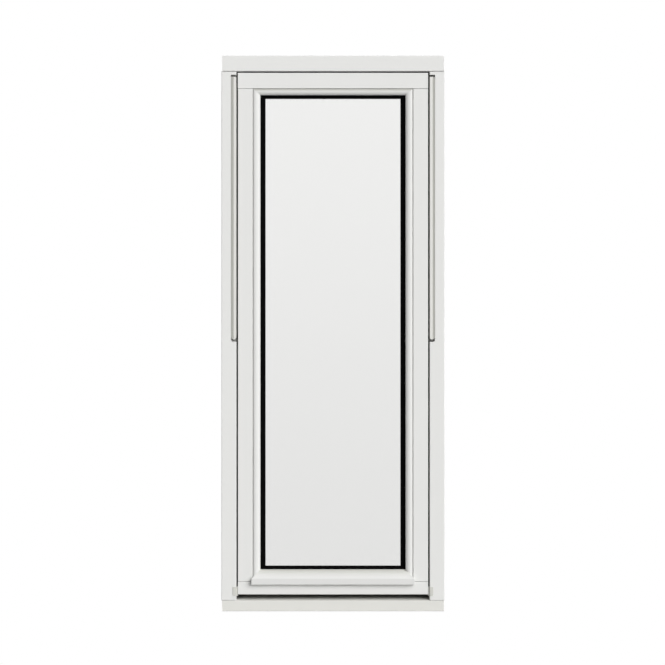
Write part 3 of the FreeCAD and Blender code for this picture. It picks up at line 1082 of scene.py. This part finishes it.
class WINDOW_OT_beads(bpy.types.Operator):
    """Shape the side beads, the top bead and the drip bead"""

    bl_idname = "window.beads"
    bl_label = "Make Beads"

    def execute(self, context):
        sizes = context.scene.window_sizes
        self.side_beads(context, sizes)
        self.top_bead(context, sizes)
        make_piece(
            context,
            "glazing_drip",
            drip_rings(sizes),
            "drip_paint",
            ["drip_bead"],
            edge=sizes.edge,
            cuts=foot_cuts(sizes),
        )
        return {"FINISHED"}

    def side_beads(self, context, sizes):
        """A bead up each side, mitred to the drip bead at the foot and to the top bead at the head."""
        for side, sign in SIDES.items():
            outline = bead_outline(sizes, REBATE_HALF, SIGHT_HALF)
            foot = foot_mitre(sizes, outline[:, 0])
            share = (REBATE_HALF - outline[:, 0]) / (REBATE_HALF - SIGHT_HALF)
            mitre = REBATE_TOP - share * (REBATE_TOP - SIGHT_TOP)
            outline[:, 0] *= sign
            make_piece(
                context,
                side + "_glazing_bead",
                along_axis("Z", outline, [foot, mitre]),
                "upright_paint",
                [side + "_bead"],
                edge=sizes.edge,
            )

    def top_bead(self, context, sizes):
        """The bead along the top, mitred at both ends."""
        outline = bead_outline(sizes, REBATE_TOP, SIGHT_TOP)
        share = (REBATE_TOP - outline[:, 0]) / (REBATE_TOP - SIGHT_TOP)
        end = REBATE_HALF - share * (REBATE_HALF - SIGHT_HALF)
        make_piece(
            context,
            "top_glazing_bead",
            along_axis("X", outline[:, ::-1], [-end, end]),
            "ledge_paint",
            ["top_bead"],
            edge=sizes.edge,
        )


class WINDOW_OT_strips(bpy.types.Operator):
    """Shape the stop strips and finish the guide blocks, pivots and seals in the joint"""

    bl_idname = "window.strips"
    bl_label = "Make Strips"

    def execute(self, context):
        sizes = context.scene.window_sizes
        for side, sign in SIDES.items():
            strip = make_piece(
                context,
                side + "_strip",
                strip_rings(sizes, sign),
                "white_coat",
                [side + "_stop_strip"],
                ends="laced",
            )
            self.coat_flange(context, strip.data, sizes)
        dress(context, "moulded_plastic", *both("guide_block"))
        dress(context, "plated_steel", *both("pivot_plate", "pivot_cup"))
        dress(context, "rubber", "head_seal", "sill_seal", *both("seal"))
        return {"FINISHED"}

    def coat_flange(self, context, mesh, sizes):
        """Coats grey the faces whose middle lies outside the bar: painted shade for the flange's recess.
        """
        mesh.materials.append(material_of("grey_coat", context))
        middles = np.empty(len(mesh.polygons) * 3)
        mesh.polygons.foreach_get("center", middles)
        bar = lowest("right_stop_strip").x + sizes.strip_bar
        grey = np.abs(middles[::3]) > bar + MERGE_DISTANCE
        mesh.polygons.foreach_set("material_index", grey.astype(np.int32))


class WINDOW_OT_handle(bpy.types.Operator):
    """Shape the handle's rose, neck and lever"""

    bl_idname = "window.handle"
    bl_label = "Make Handle"

    def execute(self, context):
        sizes = context.scene.window_sizes
        pieces = {
            "rose": (self.rose_rings(sizes), "handle_rose"),
            "neck": (self.neck_rings(sizes), "handle_lever"),
            "lever": (self.grip_rings(sizes), "handle_lever"),
        }
        for name, (rings, node) in pieces.items():
            make_piece(context, name, rings, "white_coat", [node])
        return {"FINISHED"}

    def rose_rings(self, sizes):
        """A rounded plate: one outline that shrinks by a quarter circle as it nears the room."""
        low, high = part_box("handle_rose")
        half_width = (high.x - low.x) / 2
        half_height = (high.z - low.z) / 2
        middle = (low.z + high.z) / 2
        turn = np.linspace(0, QUARTER_TURN, CORNER_POINTS)
        inset = np.concatenate([[0.0], sizes.rose_round * (1 - np.cos(turn))])
        lift = np.concatenate([[low.y], high.y - sizes.rose_round * (1 - np.sin(turn))])
        rings = []
        for shrink, depth in zip(inset, lift):
            reach = (half_width - shrink, half_height - shrink)
            radius = np.full(len(SQUARE), reach[1] * ROSE_CORNER)
            ring = rounded(np.column_stack([SQUARE * reach, radius]))
            rings.append(np.column_stack([ring[:, 0], np.full(len(ring), depth), ring[:, 1] + middle]))
        return np.stack(rings)

    def neck_rings(self, sizes):
        """A round neck: its radius swells towards the rose and the lever as the fourth power of the
        distance from its waist."""
        low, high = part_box("handle_lever")
        middle = (low.z + high.z) / 2
        end = high.y - sizes.lever_thickness / 2
        share = np.linspace(-1, 1, ARC_POINTS)[:, None]
        angle = np.linspace(0, 2 * np.pi, ROUND_POINTS, endpoint=False)[None]
        radius = sizes.neck_radius * (NECK_WAIST + NECK_FLARE * share**4)
        depth = (low.y + end) / 2 + share * (end - low.y) / 2
        depths = np.broadcast_to(depth, (ARC_POINTS, ROUND_POINTS))
        return np.stack([radius * np.cos(angle), depths, middle + radius * np.sin(angle)], axis=-1)

    def grip_rings(self, sizes):
        """A tapered grip along X: each section is a superellipse. Its height falls evenly from the root
        to the tip, and both ends close as half circles."""
        low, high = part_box("handle_lever")
        middle = (low.z + high.z) / 2
        root = (high.z - low.z) / 2
        tip = root * sizes.lever_tip
        along = self.grip_stations(low.x, high.x, root, tip)
        close = half_round(along - low.x, root) * half_round(high.x - along, tip)
        side = np.interp(along, (low.x, high.x), (root, tip)) * close
        thick = sizes.lever_thickness / 2 * np.sqrt(close)
        angle = np.linspace(0, 2 * np.pi, ROUND_POINTS, endpoint=False)
        rings = np.empty((len(along), len(angle), 3))
        rings[:, :, 0] = along[:, None]
        rings[:, :, 1] = high.y - sizes.lever_thickness / 2 + thick[:, None] * self.squarish(np.cos(angle))
        rings[:, :, 2] = middle + side[:, None] * self.squarish(np.sin(angle))
        return rings

    def grip_stations(self, start, end, root, tip):
        """Places along the grip: by the cosine of an even turn in both half-round ends, and evenly
        spaced between them."""
        turn = np.linspace(0, QUARTER_TURN, ARC_POINTS)
        first = start + root * (1 - np.cos(turn))
        last = end - tip * (1 - np.cos(turn))[::-1]
        between = np.linspace(first[-1], last[0], ARC_POINTS)[1:-1]
        return np.concatenate([first, between, last])

    def squarish(self, wave):
        """A sine or cosine turned into a superellipse's: its size to two over the power, its sign kept."""
        return np.sign(wave) * np.abs(wave) ** (2 / GRIP_POWER)


class WINDOW_OT_stage(bpy.types.Operator):
    """Set the pale floor, the soft lights and the camera"""

    bl_idname = "window.stage"
    bl_label = "Set Stage"

    def execute(self, context):
        studio = context.scene.window_studio
        self.light_world(context, studio)
        self.lay_floor(context)
        self.add_light(context, "key_light", KEY_FROM, studio.key, studio.softness)
        self.add_light(context, "back_fill", FILL_FROM, studio.fill, studio.softness)
        self.add_camera(context, studio)
        context.scene.view_settings.view_transform = "Standard"
        return {"FINISHED"}

    def light_world(self, context, studio):
        """White to the camera. Through the glass and in reflections it grades from a dimmer floor
        line to a bright sky. To all else it is an even level, with a wash from in front and one from
        behind that each go by the square of the direction's part along Y."""
        world = bpy.data.worlds.new("studio_world")
        world.use_nodes = True
        context.scene.world = world
        recipe = Recipe(world.node_tree)
        point = recipe.node("ShaderNodeTexCoord", output="Generated")
        height = recipe.node("ShaderNodeSeparateXYZ", {}, {"Vector": point}, output="Z")
        depth = recipe.node("ShaderNodeSeparateXYZ", {}, {"Vector": point}, output="Y")
        wash = studio.ambient + studio.front_wash * (-1 * depth).at_least(0.0) ** 2
        wash = wash + studio.back_wash * depth.at_least(0.0) ** 2
        level = self.sight(recipe, height, wash)
        sky = recipe.node("ShaderNodeBackground", {}, {"Color": grey(1.0), "Strength": level})
        recipe.output(sky, "ShaderNodeOutputWorld")

    def sight(self, recipe, height, rest):
        """The level of what is seen in a direction: white to the camera, and graded with the direction's
        height through the glass and in reflections. Scattered light gets the rest, and nothing
        through the glass."""
        view = recipe.step(height, -HORIZON, HORIZON, *VIEW_LEVELS)
        gleam = recipe.step(height, -HORIZON, HORIZON, *GLEAM_LEVELS)
        scattered = recipe.node("ShaderNodeLightPath", output="Diffuse Depth") > 0.5
        glossy, seen = recipe.ray("Glossy"), recipe.ray("Camera")
        clear = recipe.ray("Transmission")
        through = clear * (1 - scattered)
        level = glossy * gleam + (1 - glossy) * rest
        level = scattered * (1 - clear) * rest + (1 - scattered) * level
        level = through * view + (1 - through) * level
        return seen + (1 - seen) * level

    def lay_floor(self, context):
        """A wide pale floor: one square."""
        corners = np.column_stack([SQUARE * FLOOR_REACH, np.zeros(len(SQUARE))])
        mesh = bpy.data.meshes.new("floor")
        mesh.from_pydata(corners.tolist(), [], [tuple(range(len(SQUARE)))])
        floor = bpy.data.objects.new("floor", mesh)
        context.scene.collection.objects.link(floor)
        mesh.materials.append(self.pale_floor())

    def pale_floor(self):
        """The floor's finish. Seen along its surface it is as white as the space behind it, and the
        glass shows it dimmer."""
        material, recipe = new_material("pale_floor")
        seen = recipe.ray("Camera").at_least(recipe.ray("Transmission"))
        near = recipe.mix(seen * FLOOR_GLOW, self.floor_paint(recipe), recipe.glow(grey(1.0)))
        facing = recipe.node("ShaderNodeLayerWeight", {}, {"Blend": 0.5}, output="Facing")
        level = self.sight(recipe, facing - 1, 0.0)
        far = recipe.glow(recipe.blend(level, grey(0.0), grey(1.0)))
        grazing = recipe.step(facing, *FLOOR_GRAZING, 0.0, 1.0)
        recipe.output(recipe.mix(seen.at_least(recipe.ray("Glossy")) * grazing, near, far))
        return material

    def floor_paint(self, recipe):
        """Cloudy pale paint, which is darker to scattered light."""
        first, last = FLOOR_TONES
        cloud = recipe.noise(scale=1.5, detail=3.0)
        pale = recipe.blend(cloud, grey(first), grey(last))
        paint = recipe.blend(recipe.ray("Diffuse"), pale, grey(FLOOR_BOUNCE))
        return recipe.node("ShaderNodeBsdfDiffuse", {}, {"Color": paint})

    def add_light(self, context, name, towards, strength, softness):
        """An even soft light from one direction."""
        lamp = bpy.data.lights.new(name, "SUN")
        lamp.energy = strength
        lamp.angle = softness
        light = bpy.data.objects.new(name, lamp)
        light.location = towards * LIGHT_DISTANCE
        light.rotation_euler = (-towards).to_track_quat("-Z", "Y").to_euler()
        light.visible_camera = False
        light.visible_transmission = False
        light.visible_glossy = False
        context.scene.collection.objects.link(light)

    def add_camera(self, context, studio):
        """A long lens square to the window, level with the middle of the picture."""
        lens = bpy.data.cameras.new("camera")
        lens.sensor_width = SENSOR_WIDTH
        lens.lens = lens.sensor_width * studio.distance / studio.view_width
        camera = bpy.data.objects.new("camera", lens)
        camera.location = (CAMERA_X, FRAME_FRONT - studio.distance, CAMERA_Z)
        camera.rotation_euler = (QUARTER_TURN, 0, 0)
        context.scene.collection.objects.link(camera)
        context.scene.camera = camera


class WINDOW_PT_build(bpy.types.Panel):
    """Builds the window's finish step by step"""

    bl_idname = "WINDOW_PT_build"
    bl_label = "Centre Pivot Window"
    bl_space_type = "VIEW_3D"
    bl_region_type = "UI"
    bl_category = "Window"

    def draw(self, context):
        for group in GROUPS:
            settings = getattr(context.scene, group)
            box = self.layout.box()
            for name in settings.__annotations__:
                box.prop(settings, name)
        for operator in OPERATORS:
            self.layout.operator(operator.bl_idname)


GROUPS = {
    "window_sizes": WindowSizes,
    "window_finish": WindowFinish,
    "window_studio": WindowStudio,
}
OPERATORS = (
    WINDOW_OT_frame_paint,
    WINDOW_OT_sash_paint,
    WINDOW_OT_glazing,
    WINDOW_OT_beads,
    WINDOW_OT_strips,
    WINDOW_OT_handle,
    WINDOW_OT_stage,
)


def register():
    for name, group in GROUPS.items():
        bpy.utils.register_class(group)
        setattr(bpy.types.Scene, name, PointerProperty(type=group))
    for operator in OPERATORS:
        bpy.utils.register_class(operator)
    bpy.utils.register_class(WINDOW_PT_build)


def unregister():
    bpy.utils.unregister_class(WINDOW_PT_build)
    for operator in reversed(OPERATORS):
        bpy.utils.unregister_class(operator)
    for name, group in GROUPS.items():
        delattr(bpy.types.Scene, name)
        bpy.utils.unregister_class(group)


def main():
    register()
    for operator in OPERATORS:
        family, name = operator.bl_idname.split(".")
        getattr(getattr(bpy.ops, family), name)()


if __name__ == "__main__":
    main()
